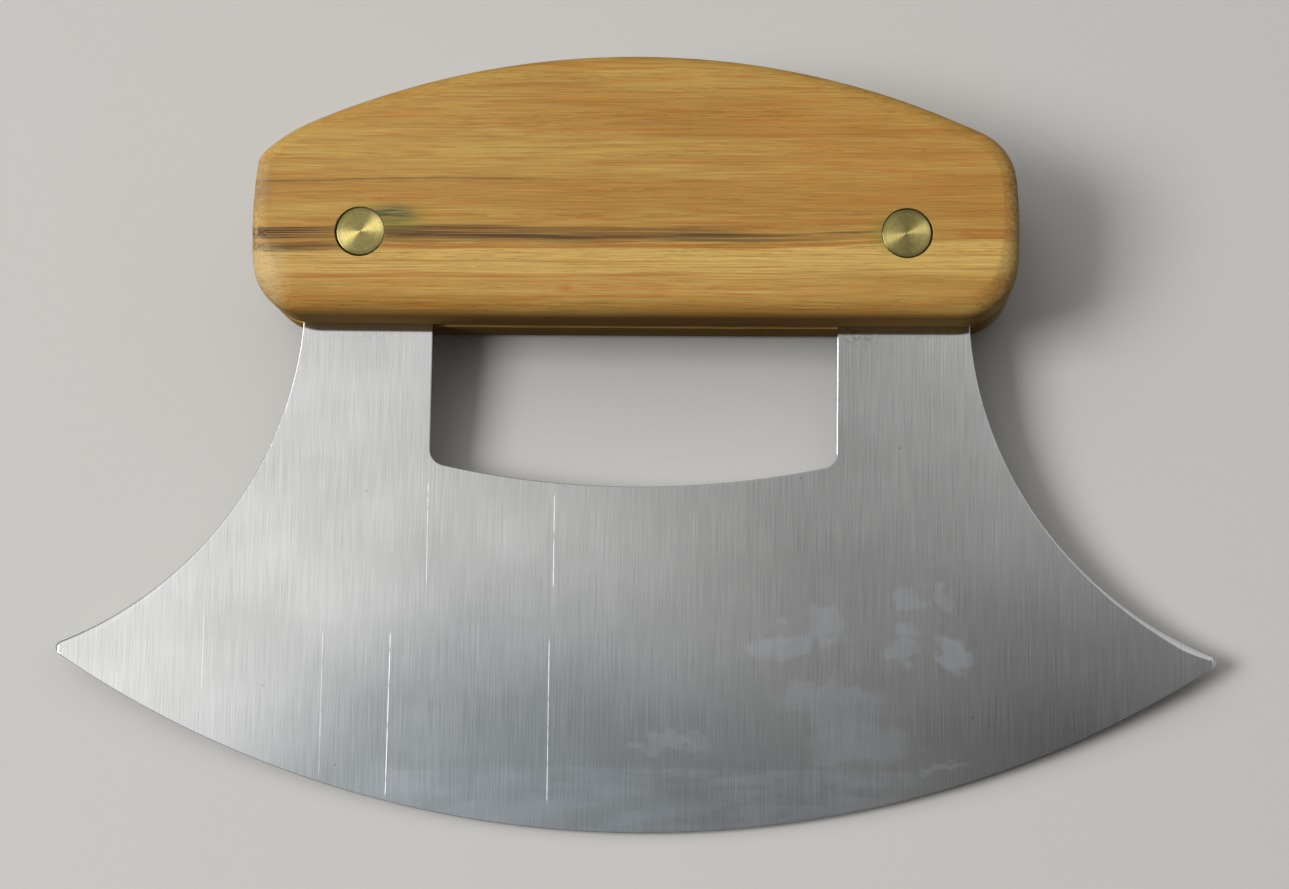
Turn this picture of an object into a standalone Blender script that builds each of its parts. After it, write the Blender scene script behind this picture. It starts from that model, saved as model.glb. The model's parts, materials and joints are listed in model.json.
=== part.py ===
"""Ulu knife: a crescent blade whose two tangs are riveted into the kerf of one wooden handle.

Every piece is drawn in the knife's own flat frame. X runs along the handle, Y runs from the
cutting edge to the handle's crown with zero at the handle's flat bottom, and Z points out of
the blade's front face with zero at mid thickness. The whole knife is then tipped until it lies
on the table as a real one does, on the belly of the blade and one long edge of the handle.
Lengths are in metres.
"""
import math

import bmesh
import bpy
from mathutils import Matrix, Vector

# Blade
BLADE_WIDTH = 0.1524          # tip to tip
BLADE_THICKNESS = 0.0016      # 16 gauge sheet
BLADE_DEPTH = 0.0669          # handle's bottom to the lowest point of the edge
BELLY_RADIUS = 0.1395         # the cutting edge's one long arc
SIDE_HOLLOW = 0.0079          # how far each side curves in from a straight line, tang to tip
TIP_RADIUS = 0.0009
SOFT_ARRIS = 0.0003           # the buffed edges all round the sheet

# Single-sided grind, on the rear face only
GRIND_WIDTH = 0.004
EDGE_LAND = 0.00015           # thickness left at the very edge

# Finger window between the tangs
WINDOW_WIDTH = 0.0539
WINDOW_DEPTH = 0.02165        # handle's bottom to the lowest point of the window's curve
WINDOW_ARC_RADIUS = 0.120
WINDOW_CORNER_RADIUS = 0.0022

# Tangs
TANG_SPREAD = 0.0888          # outer edge of one to outer edge of the other, at the handle
TANG_OVER_RIVET = 0.0063      # steel above each rivet's centre
TANG_CORNER_RADIUS = 0.002

# Handle
HANDLE_THICKNESS = 0.01905    # three-quarter inch stock
HANDLE_OVERHANG = 0.0060      # wood past each tang's outer edge
WOOD_OVER_KERF = 0.0048       # at the handle's ends
CROWN_RISE = 0.0126           # crown over the height of the ends
END_BOW = 0.00085             # how far each end swells out
BOTTOM_CORNER_RADIUS = 0.0074
LEFT_SHOULDER_START = 0.043   # from the middle to where the left shoulder leaves the crown
LEFT_SHOULDER_RADIUS = 0.021
LEFT_NOSE_RADIUS = 0.0027     # the corner between that shoulder and the left end
RIGHT_NOSE_RADIUS = 0.0078
ROUND_OVER = 0.0022           # on every long edge of the handle

# Two-piece rivets: a socket from the front and a pin from the rear
RIVET_HEIGHT = 0.01075        # handle's bottom to the rivet's centre
HEAD_DIAMETER = 0.00635       # a quarter inch
HEAD_THICKNESS = 0.0015
HEAD_SINK = 0.0001            # head below the wood's face
HEAD_CHAMFER = 0.0001
SHANK_DIAMETER = 0.0042
PIN_DIAMETER = 0.0027
PIN_CHAMFER = 0.0003
SOCKET_END_GAP = 0.0015       # socket's end to the pin's head
PIN_END_GAP = 0.003           # pin's end to the socket's head
BORE_RELIEF = 0.001           # bore past the pin's end

# Clearances
KERF_CLEARANCE = 0.0002       # each side of the blade
KERF_END_CLEARANCE = 0.0003   # over the tangs
HOLE_CLEARANCE = 0.0002       # round each shank and head, and under each head
PIN_CLEARANCE = 0.0002        # round each pin in its socket

# Faces along each curve
BELLY_STEPS = 44
SIDE_STEPS = 32
WINDOW_STEPS = 12
CROWN_STEPS = 48
END_STEPS = 8
CORNER_STEPS = 8
BOTTOM_CORNER_STEPS = 4       # few, so that the straight edge between the corners takes the weight
ROUND_OVER_STEPS = 7
TURNED_STEPS = 48
CUTTER_REACH = 0.005          # how far a cutter stands past what it cuts
SMOOTH_ANGLE = math.radians(30)

# Heights in the knife's flat frame that follow from the sizes above
TANG_TOP = RIVET_HEIGHT + TANG_OVER_RIVET
KERF_TOP = TANG_TOP + KERF_END_CLEARANCE
END_HEIGHT = KERF_TOP + WOOD_OVER_KERF
CROWN_HEIGHT = END_HEIGHT + CROWN_RISE
HALF_HANDLE = TANG_SPREAD / 2 + HANDLE_OVERHANG
RIVET_X = (TANG_SPREAD + WINDOW_WIDTH) / 4
HEAD_FACE = HANDLE_THICKNESS / 2 - HEAD_SINK
HEAD_SEAT = HEAD_FACE - HEAD_THICKNESS
EDGE_Z = BLADE_THICKNESS / 2 - SOFT_ARRIS - EDGE_LAND

STEEL = ((0.60, 0.62, 0.64), 1.0, 0.32)
WOOD = ((0.54, 0.30, 0.11), 0.0, 0.55)
BRASS = ((0.50, 0.42, 0.20), 1.0, 0.35)


def clear_scene():
    for thing in list(bpy.data.objects):
        bpy.data.objects.remove(thing, do_unlink=True)


def material(name, finish):
    colour, metallic, roughness = finish
    made = bpy.data.materials.new(name)
    made.use_nodes = True
    shader = made.node_tree.nodes["Principled BSDF"]
    shader.inputs["Base Color"].default_value = (*colour, 1.0)
    shader.inputs["Metallic"].default_value = metallic
    shader.inputs["Roughness"].default_value = roughness
    made.diffuse_color = (*colour, 1.0)
    return made


# Flat geometry

def radius_of_arc(chord, rise):
    """The radius of an arc that rises this far over this chord."""
    return (chord * chord / 4 + rise * rise) / (2 * rise)


def circles_meet(centre_a, radius_a, centre_b, radius_b, side):
    """Where two circles cross, to the left (side 1) or right (side -1) of the way from A to B."""
    way = centre_b - centre_a
    along = (radius_a ** 2 - radius_b ** 2 + way.length_squared) / (2 * way.length)
    across = math.sqrt(radius_a ** 2 - along ** 2)
    forward = way.normalized()
    left = Vector((-forward.y, forward.x))
    return centre_a + forward * along + left * across * side


def touch(centre, radius, towards):
    """The point at this radius from a centre, in the direction of another point."""
    return centre + (towards - centre).normalized() * radius


def arc(centre, start, end, steps):
    """Points along the shorter arc from start, up to but not including end."""
    first = math.atan2(start.y - centre.y, start.x - centre.x)
    last = math.atan2(end.y - centre.y, end.x - centre.x)
    turn = math.remainder(last - first, 2 * math.pi)
    radius = (start - centre).length
    points = []
    for step in range(steps):
        angle = first + turn * step / steps
        points.append(centre + Vector((math.cos(angle), math.sin(angle))) * radius)
    return points


def mirrored(points):
    """The same points on the other side, in the order that carries an outline on round."""
    return [Vector((-point.x, point.y)) for point in reversed(points)]


# Blade outline

def belly_centre():
    return Vector((0, BELLY_RADIUS - BLADE_DEPTH))


def tip_centre():
    """Centre of the right tip's small arc, which lies inside the belly's long one."""
    x = BLADE_WIDTH / 2 - TIP_RADIUS
    drop = math.sqrt((BELLY_RADIUS - TIP_RADIUS) ** 2 - x ** 2)
    return Vector((x, belly_centre().y - drop))


def side_circle():
    """Centre and radius of the hollow side: from the tang at the handle to the right tip."""
    shoulder = Vector((TANG_SPREAD / 2, 0))
    tip = tip_centre()
    radius = radius_of_arc((tip - shoulder).length, SIDE_HOLLOW)
    return circles_meet(shoulder, radius, tip, radius + TIP_RADIUS, 1), radius


def window_circles():
    """Centres of the window's long arc and of its right corner's fillet."""
    centre = Vector((0, WINDOW_ARC_RADIUS - WINDOW_DEPTH))
    x = WINDOW_WIDTH / 2 - WINDOW_CORNER_RADIUS
    drop = math.sqrt((WINDOW_ARC_RADIUS - WINDOW_CORNER_RADIUS) ** 2 - x ** 2)
    return centre, Vector((x, centre.y - drop))


def belly_and_tip(inset):
    """From the bottom of the belly round the right tip, to where the hollow side starts."""
    belly, tip = belly_centre(), tip_centre()
    side, side_radius = side_circle()
    lowest = Vector((0, -BLADE_DEPTH + inset))
    tip_start = touch(belly, BELLY_RADIUS - inset, tip)
    tip_end = touch(side, side_radius + inset, tip)
    points = arc(belly, lowest, tip_start, BELLY_STEPS)
    points += arc(tip, tip_start, tip_end, CORNER_STEPS)
    return points, tip_end


def side_and_tang(start, inset):
    """Up the hollow side, up the tang's outer edge and over its two corners."""
    side, side_radius = side_circle()
    outer = side.x - side_radius - inset
    inner = WINDOW_WIDTH / 2 + inset
    top = TANG_TOP - inset
    reach = TANG_CORNER_RADIUS - inset
    points = arc(side, start, Vector((outer, side.y)), SIDE_STEPS)
    points.append(Vector((outer, side.y)))
    outer_corner = Vector((outer - reach, top - reach))
    inner_corner = Vector((inner + reach, top - reach))
    points += arc(outer_corner, Vector((outer, top - reach)), Vector((outer - reach, top)), CORNER_STEPS)
    points.append(Vector((outer - reach, top)))
    points += arc(inner_corner, Vector((inner + reach, top)), Vector((inner, top - reach)), CORNER_STEPS)
    points.append(Vector((inner, top - reach)))
    return points


def window_half(inset):
    """Down the window's right side, round its corner and along its arc to the middle."""
    centre, corner = window_circles()
    corner_start = Vector((WINDOW_WIDTH / 2 + inset, corner.y))
    corner_end = touch(centre, WINDOW_ARC_RADIUS + inset, corner)
    lowest = Vector((0, -WINDOW_DEPTH - inset))
    points = arc(corner, corner_start, corner_end, CORNER_STEPS)
    points += arc(centre, corner_end, lowest, WINDOW_STEPS)
    return points, lowest


def blade_outline(inset):
    """The blade's whole outline, drawn in by inset, round from the bottom of the belly."""
    right, tip_end = belly_and_tip(inset)
    right += side_and_tang(tip_end, inset)
    window, lowest = window_half(inset)
    right += window
    return right + [lowest] + mirrored(right[1:])


# Handle outline

def crown_circle():
    radius = radius_of_arc(2 * HALF_HANDLE, CROWN_RISE)
    return Vector((0, CROWN_HEIGHT - radius)), radius


def end_circle():
    """The right end's shallow swell."""
    radius = radius_of_arc(END_HEIGHT, END_BOW)
    return Vector((HALF_HANDLE - radius, END_HEIGHT / 2)), radius


def shoulder_centre():
    """Centre of the left shoulder's arc, as drawn on the right. It leaves the crown without a corner."""
    crown, radius = crown_circle()
    start = crown + Vector((LEFT_SHOULDER_START, math.sqrt(radius ** 2 - LEFT_SHOULDER_START ** 2)))
    return touch(start, LEFT_SHOULDER_RADIUS, crown)


def handle_side(above, above_radius, nose_radius, inset):
    """The handle's right edge: its bottom corner, its end, and its nose up to the arc above."""
    end, end_radius = end_circle()
    nose = circles_meet(end, end_radius - nose_radius, above, above_radius - nose_radius, 1)
    run = math.sqrt((end_radius - BOTTOM_CORNER_RADIUS) ** 2 - (BOTTOM_CORNER_RADIUS - end.y) ** 2)
    corner = Vector((end.x + run, BOTTOM_CORNER_RADIUS))
    corner_start = Vector((corner.x, inset))
    corner_end = touch(end, end_radius - inset, corner)
    nose_start = touch(end, end_radius - inset, nose)
    nose_end = touch(above, above_radius - inset, nose)
    points = arc(corner, corner_start, corner_end, BOTTOM_CORNER_STEPS)
    points += arc(end, corner_end, nose_start, END_STEPS)
    points += arc(nose, nose_start, nose_end, CORNER_STEPS)
    return points + [nose_end]


def handle_outline(inset):
    """The handle's whole outline, drawn in by inset, round from its right bottom corner."""
    crown, crown_radius = crown_circle()
    right = handle_side(crown, crown_radius, RIGHT_NOSE_RADIUS, inset)
    shoulder = shoulder_centre()
    left = handle_side(shoulder, LEFT_SHOULDER_RADIUS, LEFT_NOSE_RADIUS, inset)
    shoulder_top = touch(crown, crown_radius - inset, shoulder)
    left += arc(shoulder, left[-1], shoulder_top, CORNER_STEPS)[1:] + [shoulder_top]
    left = mirrored(left)
    top = arc(crown, right[-1], left[0], CROWN_STEPS)
    return right + top[1:] + left


# Solids

def smooth(mesh):
    mesh.shade_smooth()
    mesh.set_sharp_from_angle(angle=SMOOTH_ANGLE)


def finish_mesh(shape, name):
    mesh = bpy.data.meshes.new(name)
    shape.to_mesh(mesh)
    shape.free()
    smooth(mesh)
    return mesh


def layered(name, outline, layers):
    """A flat solid: the outline at each (height, inset) from the front down, with both ends capped."""
    shape = bmesh.new()
    rings = []
    for height, inset in layers:
        rings.append([shape.verts.new((point.x, point.y, height)) for point in outline(inset)])
    for upper, lower in zip(rings, rings[1:]):
        for here in range(len(upper)):
            following = (here + 1) % len(upper)
            shape.faces.new((upper[here], lower[here], lower[following], upper[following]))
    shape.faces.new(rings[0])
    shape.faces.new(reversed(rings[-1]))
    bmesh.ops.recalc_face_normals(shape, faces=shape.faces)
    return finish_mesh(shape, name)


def turned(name, profile):
    """A solid of revolution about Z. The profile's first and last points are on the axis."""
    shape = bmesh.new()
    points = [shape.verts.new((radius, 0, height)) for radius, height in profile]
    edges = [shape.edges.new(pair) for pair in zip(points, points[1:])]
    bmesh.ops.spin(shape, geom=points + edges, cent=(0, 0, 0), axis=(0, 0, 1),
                   angle=2 * math.pi, steps=TURNED_STEPS, use_merge=True)
    bmesh.ops.remove_doubles(shape, verts=shape.verts, dist=1e-7)
    bmesh.ops.recalc_face_normals(shape, faces=shape.faces)
    return finish_mesh(shape, name)


def box(name, low, high):
    shape = bmesh.new()
    bmesh.ops.create_cube(shape, size=1)
    for corner in shape.verts:
        for axis in range(3):
            corner.co[axis] = high[axis] if corner.co[axis] > 0 else low[axis]
    return finish_mesh(shape, name)


def add_piece(name, mesh, finish, rest, place=(0, 0, 0)):
    piece = bpy.data.objects.new(name, mesh)
    bpy.context.collection.objects.link(piece)
    mesh.materials.append(material(name, finish))
    piece.parent = rest
    piece.location = place
    return piece


def add_cutter(name, mesh, rest, place=(0, 0, 0)):
    cutter = bpy.data.objects.new(name, mesh)
    bpy.context.collection.objects.link(cutter)
    cutter.parent = rest
    cutter.location = place
    cutter.hide_render = True
    cutter.display_type = "WIRE"
    return cutter


def cut(piece, cutter):
    step = piece.modifiers.new(cutter.name, "BOOLEAN")
    step.operation = "DIFFERENCE"
    step.solver = "EXACT"
    step.object = cutter


# Blade

def grind_cutter():
    """A wedge swept along the belly's arc: what the single-sided grind takes off the rear face."""
    rear = -BLADE_THICKNESS / 2
    slope = (EDGE_Z - rear) / GRIND_WIDTH
    inner = BELLY_RADIUS - GRIND_WIDTH - CUTTER_REACH
    outer = BELLY_RADIUS + CUTTER_REACH
    inner_z = rear - slope * CUTTER_REACH
    outer_z = EDGE_Z + slope * CUTTER_REACH
    shape = bmesh.new()
    corners = [shape.verts.new((0, -radius, height))
               for radius, height in ((inner, inner_z), (outer, outer_z), (outer, inner_z))]
    face = shape.faces.new(corners)
    tip = tip_centre() - belly_centre()
    facet = math.atan2(tip.x, -tip.y) / BELLY_STEPS
    # The sweep's facets lie half a step off the blade's, so that no two edges coincide.
    facets_past_tip = 4.5
    half_sweep = facet * (BELLY_STEPS + facets_past_tip)
    bmesh.ops.rotate(shape, verts=corners, cent=(0, 0, 0), matrix=Matrix.Rotation(-half_sweep, 3, "Z"))
    steps = 2 * BELLY_STEPS + round(2 * facets_past_tip)
    bmesh.ops.spin(shape, geom=[face], cent=(0, 0, 0), axis=(0, 0, 1), angle=2 * half_sweep, steps=steps)
    bmesh.ops.recalc_face_normals(shape, faces=shape.faces)
    mesh = finish_mesh(shape, "grind")
    # Its angle with the rear face is blunt, so it is shaded flat to keep the heel a crisp line.
    mesh.shade_flat()
    return mesh


def make_blade(rest):
    half = BLADE_THICKNESS / 2
    layers = [(half, SOFT_ARRIS), (half - SOFT_ARRIS, 0), (SOFT_ARRIS - half, 0), (-half, SOFT_ARRIS)]
    blade = add_piece("blade", layered("blade", blade_outline, layers), STEEL, rest)
    centre = belly_centre()
    cut(blade, add_cutter("grind", grind_cutter(), rest, (centre.x, centre.y, 0)))
    radius = SHANK_DIAMETER / 2 + HOLE_CLEARANCE
    reach = half + CUTTER_REACH
    profile = [(0, reach), (radius, reach), (radius, -reach), (0, -reach)]
    for side, x in (("left", -RIVET_X), ("right", RIVET_X)):
        hole = turned(f"tang_hole_{side}", profile)
        cut(blade, add_cutter(f"tang_hole_{side}", hole, rest, (x, RIVET_HEIGHT, 0)))


# Handle

def round_over_layers():
    """Heights and insets of a quarter-round edge on the front and again on the rear."""
    front = []
    for step in range(ROUND_OVER_STEPS + 1):
        angle = math.pi / 2 * step / ROUND_OVER_STEPS
        inset = ROUND_OVER * (1 - math.sin(angle))
        front.append((HANDLE_THICKNESS / 2 - ROUND_OVER * (1 - math.cos(angle)), inset))
    rear = [(-height, inset) for height, inset in reversed(front)]
    return front + rear


def make_handle(rest):
    handle = add_piece("handle", layered("handle", handle_outline, round_over_layers()), WOOD, rest)
    half_kerf = BLADE_THICKNESS / 2 + KERF_CLEARANCE
    end = HALF_HANDLE + CUTTER_REACH
    kerf = box("kerf", (-end, -CUTTER_REACH, -half_kerf), (end, KERF_TOP, half_kerf))
    cut(handle, add_cutter("kerf", kerf, rest))
    outside = HANDLE_THICKNESS / 2 + CUTTER_REACH
    head_radius = HEAD_DIAMETER / 2 + HOLE_CLEARANCE
    shank_radius = SHANK_DIAMETER / 2 + HOLE_CLEARANCE
    floor = HEAD_SEAT - HOLE_CLEARANCE
    profile = [(0, outside), (head_radius, outside), (head_radius, floor), (shank_radius, floor),
               (shank_radius, -floor), (head_radius, -floor), (head_radius, -outside), (0, -outside)]
    for side, x in (("left", -RIVET_X), ("right", RIVET_X)):
        hole = turned(f"handle_hole_{side}", profile)
        cut(handle, add_cutter(f"handle_hole_{side}", hole, rest, (x, RIVET_HEIGHT, 0)))


# Rivets

def socket_profile():
    """Head and tubular shank, with a blind bore that takes the pin."""
    head = HEAD_DIAMETER / 2
    shank = SHANK_DIAMETER / 2
    bore = PIN_DIAMETER / 2 + PIN_CLEARANCE
    open_end = SOCKET_END_GAP - HEAD_SEAT
    bore_end = HEAD_SEAT - PIN_END_GAP + BORE_RELIEF
    return [(0, HEAD_FACE), (head - HEAD_CHAMFER, HEAD_FACE), (head, HEAD_FACE - HEAD_CHAMFER),
            (head, HEAD_SEAT), (shank, HEAD_SEAT), (shank, open_end), (bore, open_end),
            (bore, bore_end), (0, bore_end)]


def pin_profile():
    """Head and solid pin, entering from the rear."""
    head = HEAD_DIAMETER / 2
    pin = PIN_DIAMETER / 2
    end = HEAD_SEAT - PIN_END_GAP
    return [(0, end), (pin - PIN_CHAMFER, end), (pin, end - PIN_CHAMFER), (pin, -HEAD_SEAT),
            (head, -HEAD_SEAT), (head, HEAD_CHAMFER - HEAD_FACE), (head - HEAD_CHAMFER, -HEAD_FACE),
            (0, -HEAD_FACE)]


def make_rivets(rest):
    for side, x in (("left", -RIVET_X), ("right", RIVET_X)):
        place = (x, RIVET_HEIGHT, 0)
        for half, profile in (("socket", socket_profile()), ("pin", pin_profile())):
            name = f"rivet_{side}_{half}"
            add_piece(name, turned(name, profile), BRASS, rest, place)


# How the knife lies on a table

def resting_tilt():
    """The angle at which the handle's rear bottom edge and the grind's heel both touch the table."""
    heel_y = GRIND_WIDTH - BLADE_DEPTH
    heel_z = -BLADE_THICKNESS / 2
    across = ROUND_OVER - heel_y
    drop = ROUND_OVER - HANDLE_THICKNESS / 2 - heel_z
    return math.asin(ROUND_OVER / math.hypot(across, drop)) - math.atan2(drop, across)


def resting_place(tilt):
    """Puts the lowest points at zero height and the middle of the knife's length in Y at zero."""
    lean, rise = math.sin(tilt), math.cos(tilt)
    round_z = HANDLE_THICKNESS / 2 - ROUND_OVER
    height = (round_z * rise + ROUND_OVER) - ROUND_OVER * lean
    crown_y = (CROWN_HEIGHT - ROUND_OVER) * rise + round_z * lean + ROUND_OVER
    edge_z = BLADE_THICKNESS / 2 - SOFT_ARRIS
    edge_y = -BLADE_DEPTH * rise - edge_z * lean
    return Vector((0, -(crown_y + edge_y) / 2, height))


def make_rest():
    tilt = resting_tilt()
    rest = bpy.data.objects.new("rest", None)
    bpy.context.collection.objects.link(rest)
    rest.rotation_euler = (tilt, 0, 0)
    rest.location = resting_place(tilt)
    return rest


def main():
    clear_scene()
    rest = make_rest()
    make_blade(rest)
    make_handle(rest)
    make_rivets(rest)


main()
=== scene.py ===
# %% [markdown]
# # Dressing an ulu knife
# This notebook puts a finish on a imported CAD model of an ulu: a crescent of stainless sheet, a
# domed hardwood handle and two brass rivets. The CAD model is right in size and place but plain,
# so each of its pieces is rebuilt here with rounded arrises, brushing, grain and wear.
#
# The frame comes first. It holds the CAD pieces in metres, and every piece made below rides on it.

# %% Load the frame
import json
import math

import bmesh
import bpy
from mathutils import Matrix, Vector, noise


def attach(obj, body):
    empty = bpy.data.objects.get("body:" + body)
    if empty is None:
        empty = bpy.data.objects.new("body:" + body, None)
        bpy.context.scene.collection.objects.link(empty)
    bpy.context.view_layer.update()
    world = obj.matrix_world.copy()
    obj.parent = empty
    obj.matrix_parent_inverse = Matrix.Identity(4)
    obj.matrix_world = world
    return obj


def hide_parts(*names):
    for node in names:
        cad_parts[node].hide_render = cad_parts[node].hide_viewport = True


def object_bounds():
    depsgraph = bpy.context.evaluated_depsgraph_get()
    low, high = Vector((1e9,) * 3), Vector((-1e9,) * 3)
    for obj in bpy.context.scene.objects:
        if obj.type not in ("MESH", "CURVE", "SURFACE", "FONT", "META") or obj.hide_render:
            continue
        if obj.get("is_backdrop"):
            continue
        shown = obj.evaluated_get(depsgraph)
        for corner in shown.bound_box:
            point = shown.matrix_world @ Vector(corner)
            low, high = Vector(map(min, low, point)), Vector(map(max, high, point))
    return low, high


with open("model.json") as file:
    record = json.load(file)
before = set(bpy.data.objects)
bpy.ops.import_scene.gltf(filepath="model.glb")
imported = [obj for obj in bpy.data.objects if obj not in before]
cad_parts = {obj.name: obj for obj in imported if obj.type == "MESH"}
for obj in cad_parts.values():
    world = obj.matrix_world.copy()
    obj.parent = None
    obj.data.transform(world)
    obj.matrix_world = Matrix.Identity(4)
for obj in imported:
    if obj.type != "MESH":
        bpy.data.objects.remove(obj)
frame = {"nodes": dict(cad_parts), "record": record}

CAD_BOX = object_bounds()
MM = 0.001
print("CAD pieces:", ", ".join(sorted(frame["nodes"])))

# %% [markdown]
# ## The knife's own flat frame
# On a table an ulu doesn't lie flat: it rests on the belly of the blade and one long edge of the
# handle, a few degrees tipped. A maker draws it flat, so the pieces are drawn flat here too and
# tipped at the end. In that frame X runs along the handle, Y from the cutting edge to the crown,
# with zero at the handle's bottom, and Z out of the blade's front face.
#
# The tip could be typed in as an angle. It is read from the record's two mounts on the handle's
# faces instead, so that it can't disagree with the CAD model.

# %% Find the flat frame
mounts = {mount["name"]: mount for mount in frame["record"]["mounts"]}
face_up = Vector(mounts["handle_front_face"]["axis"])
middle = sum((Vector(mounts[f"handle_{side}_face"]["pos_m"]) for side in ("front", "rear")), Vector()) / 2
TILT = math.atan2(-face_up.y, face_up.z)

tipped = Matrix.Translation(middle) @ Matrix.Rotation(TILT, 4, "X")
handle_bottom = min((tipped.inverted() @ vertex.co).y for vertex in frame["nodes"]["handle"].data.vertices)
KNIFE = tipped @ Matrix.Translation((0, handle_bottom, 0))
print(f"The knife lies tipped {math.degrees(TILT):.2f} degrees")

# %% [markdown]
# ## Camera
# The photograph looks down on the knife from the blade's side, about 35 cm away. A camera can be
# placed by eye, but its place, turn and lens were worked out from the outline of the blade and
# handle in the photograph, so that a render can be laid over it.

# %% Place the camera
CAMERA_PLACE = Vector((20.29, -62.63, 354.30)) * MM     # in the flat frame
CAMERA_YAW = math.radians(3.03)
CAMERA_PITCH = math.radians(7.50)
CAMERA_ROLL = math.radians(0.875)
IMAGE_WIDTH = 1289                                      # pixels
FOCAL_LENGTH = 2700                                     # pixels
SENSOR_WIDTH = 36                                       # mm

camera = bpy.data.objects.new("camera", bpy.data.cameras.new("camera"))
bpy.context.scene.collection.objects.link(camera)
camera.data.sensor_width = SENSOR_WIDTH
camera.data.lens = FOCAL_LENGTH / IMAGE_WIDTH * SENSOR_WIDTH
camera.data.clip_start = 10 * MM
camera.matrix_world = (KNIFE @ Matrix.Translation(CAMERA_PLACE) @ Matrix.Rotation(CAMERA_YAW, 4, "Y")
                       @ Matrix.Rotation(CAMERA_PITCH, 4, "X") @ Matrix.Rotation(CAMERA_ROLL, 4, "Z"))
bpy.context.scene.camera = camera
bpy.context.scene.view_settings.view_transform = "Standard"
print(f"Lens {camera.data.lens:.1f} mm")

# %% [markdown]
# ## Colours and nodes
# Colours are written as the hex values that a screen shows. A renderer counts light, so each one
# is turned to linear by one function. Materials are node trees, and one small function adds a
# node with its settings and links.

# %% Helpers for materials
def linear(hex_colour):
    """A screen colour such as "#C8A064" as the linear RGBA that a shader takes."""
    parts = [int(hex_colour[start:start + 2], 16) / 255 for start in (1, 3, 5)]
    return (*[part / 12.92 if part <= 0.04045 else ((part + 0.055) / 1.055) ** 2.4 for part in parts], 1.0)


def grey(level):
    return (level, level, level, 1.0)


def add(tree, kind, *inputs, stops=None, **named):
    """Adds a node. Plain inputs fill its sockets in order; a named one is a setting or a socket.

    An input is a value, a socket, or an earlier node, whose first output in use is linked.
    """
    node = tree.nodes.new("ShaderNode" + kind)
    by_name = {}
    for name, value in named.items():
        if hasattr(node, name):
            setattr(node, name, value)
        else:
            by_name[name.replace("_", " ")] = value
    in_use = [socket for socket in node.inputs if socket.enabled]
    given = list(zip(in_use, inputs))
    given += [(socket, by_name[socket.name]) for socket in in_use if socket.name in by_name]
    for socket, value in given:
        if isinstance(value, bpy.types.Node):
            value = next(output for output in value.outputs if output.enabled)
        if isinstance(value, bpy.types.NodeSocket):
            tree.links.new(value, socket)
        else:
            socket.default_value = value
    if stops:
        ramp = node.color_ramp.elements
        ramp[0].position, ramp[0].color = stops[0]
        ramp[1].position, ramp[1].color = stops[-1]
        for position, colour in stops[1:-1]:
            ramp.new(position).color = colour
    return node


SOFT = {"interpolation_type": "SMOOTHSTEP"}     # a range that eases in and out
COLOUR = {"data_type": "RGBA"}                  # a mix of colours
TINT = {"data_type": "RGBA", "blend_type": "MULTIPLY"}

# %% [markdown]
# A mask says where something is, from 0 to 1. Masks are joined in two ways below: what lies in all
# of them, and what lies in any of them. The last two helpers start a material and link what was
# made for it to its shader.

# %% Helpers for masks and shaders
def where_all(tree, *masks):
    """The masks multiplied together. A number among them is a strength, from 0 to 1."""
    result = masks[0]
    for mask in masks[1:]:
        result = add(tree, "Math", result, mask, operation="MULTIPLY")
    return result


def where_any(tree, masks):
    """The strongest of the masks."""
    result = masks[0]
    for mask in masks[1:]:
        result = add(tree, "Math", result, mask, operation="MAXIMUM")
    return result


def new_tree(name):
    material = bpy.data.materials.new(name)
    material.use_nodes = True
    return material, material.node_tree


def connect(tree, **links):
    """Links nodes to the shader's sockets; an underscore in a name stands for a space."""
    shader = tree.nodes["Principled BSDF"]
    for name, node in links.items():
        output = next(output for output in node.outputs if output.enabled)
        tree.links.new(output, shader.inputs[name.replace("_", " ")])
    return shader

# %% [markdown]
# ## Light and floor
# Brushed sheet shows what is above it, so the sky of the studio matters as much as the lamps. In
# the photograph the left third of the blade mirrors something bright and the rest something dim,
# and two soft dark shapes lie over the belly and the right half. A third shape, low in front,
# leaves the handle's underside as dark as it is there.
#
# Softboxes and flags could do this. A world whose brightness changes with the direction is
# simpler and gives no noise. One lamp on the left adds the soft shadows. All light together comes
# to about one on a level surface, so colours render about as written.

# %% Light the studio
SKY_ACROSS = (                          # from level left (0) over straight up (0.5) to level right (1)
    (0.00, "#BCBCBC"), (0.20, "#D4D4D4"), (0.32, "#DADADA"), (0.37, "#D8D8D8"), (0.41, "#C8C8C8"),
    (0.44, "#B7B7B7"), (0.47, "#A1A1A1"), (0.50, "#848484"), (0.53, "#929292"), (0.565, "#B8B8B8"),
    (0.60, "#ACACAC"), (0.75, "#8E8E8E"), (1.00, "#808080"),
)
SKY_STRENGTH = 1.8
SHADES = (                              # x, y, half width, half height, softness, what light is left
    (-0.096, -0.484, 0.220, 0.445, 0.14, "#B9C0C5"), (0.130, -0.134, 0.210, 0.197, 1.0, "#5F5F60"),
    (0.000, -1.200, 4.000, 1.020, 0.15, "#161616"),
)
SHADE_START = 0.3                       # a shade is full only from this height over the horizon


def patch(tree, place, x, y, half_width, half_height, softness):
    """1 in an ellipse round a point, fading out towards its rim."""
    scale = (1 / half_width, 1 / half_height, 0)
    offset = add(tree, "Mapping", place, (-x / half_width, -y / half_height, 0), Scale=scale)
    away = add(tree, "VectorMath", offset, operation="LENGTH")
    return add(tree, "MapRange", away, 1.0, 1.0 - softness, **SOFT)


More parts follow.
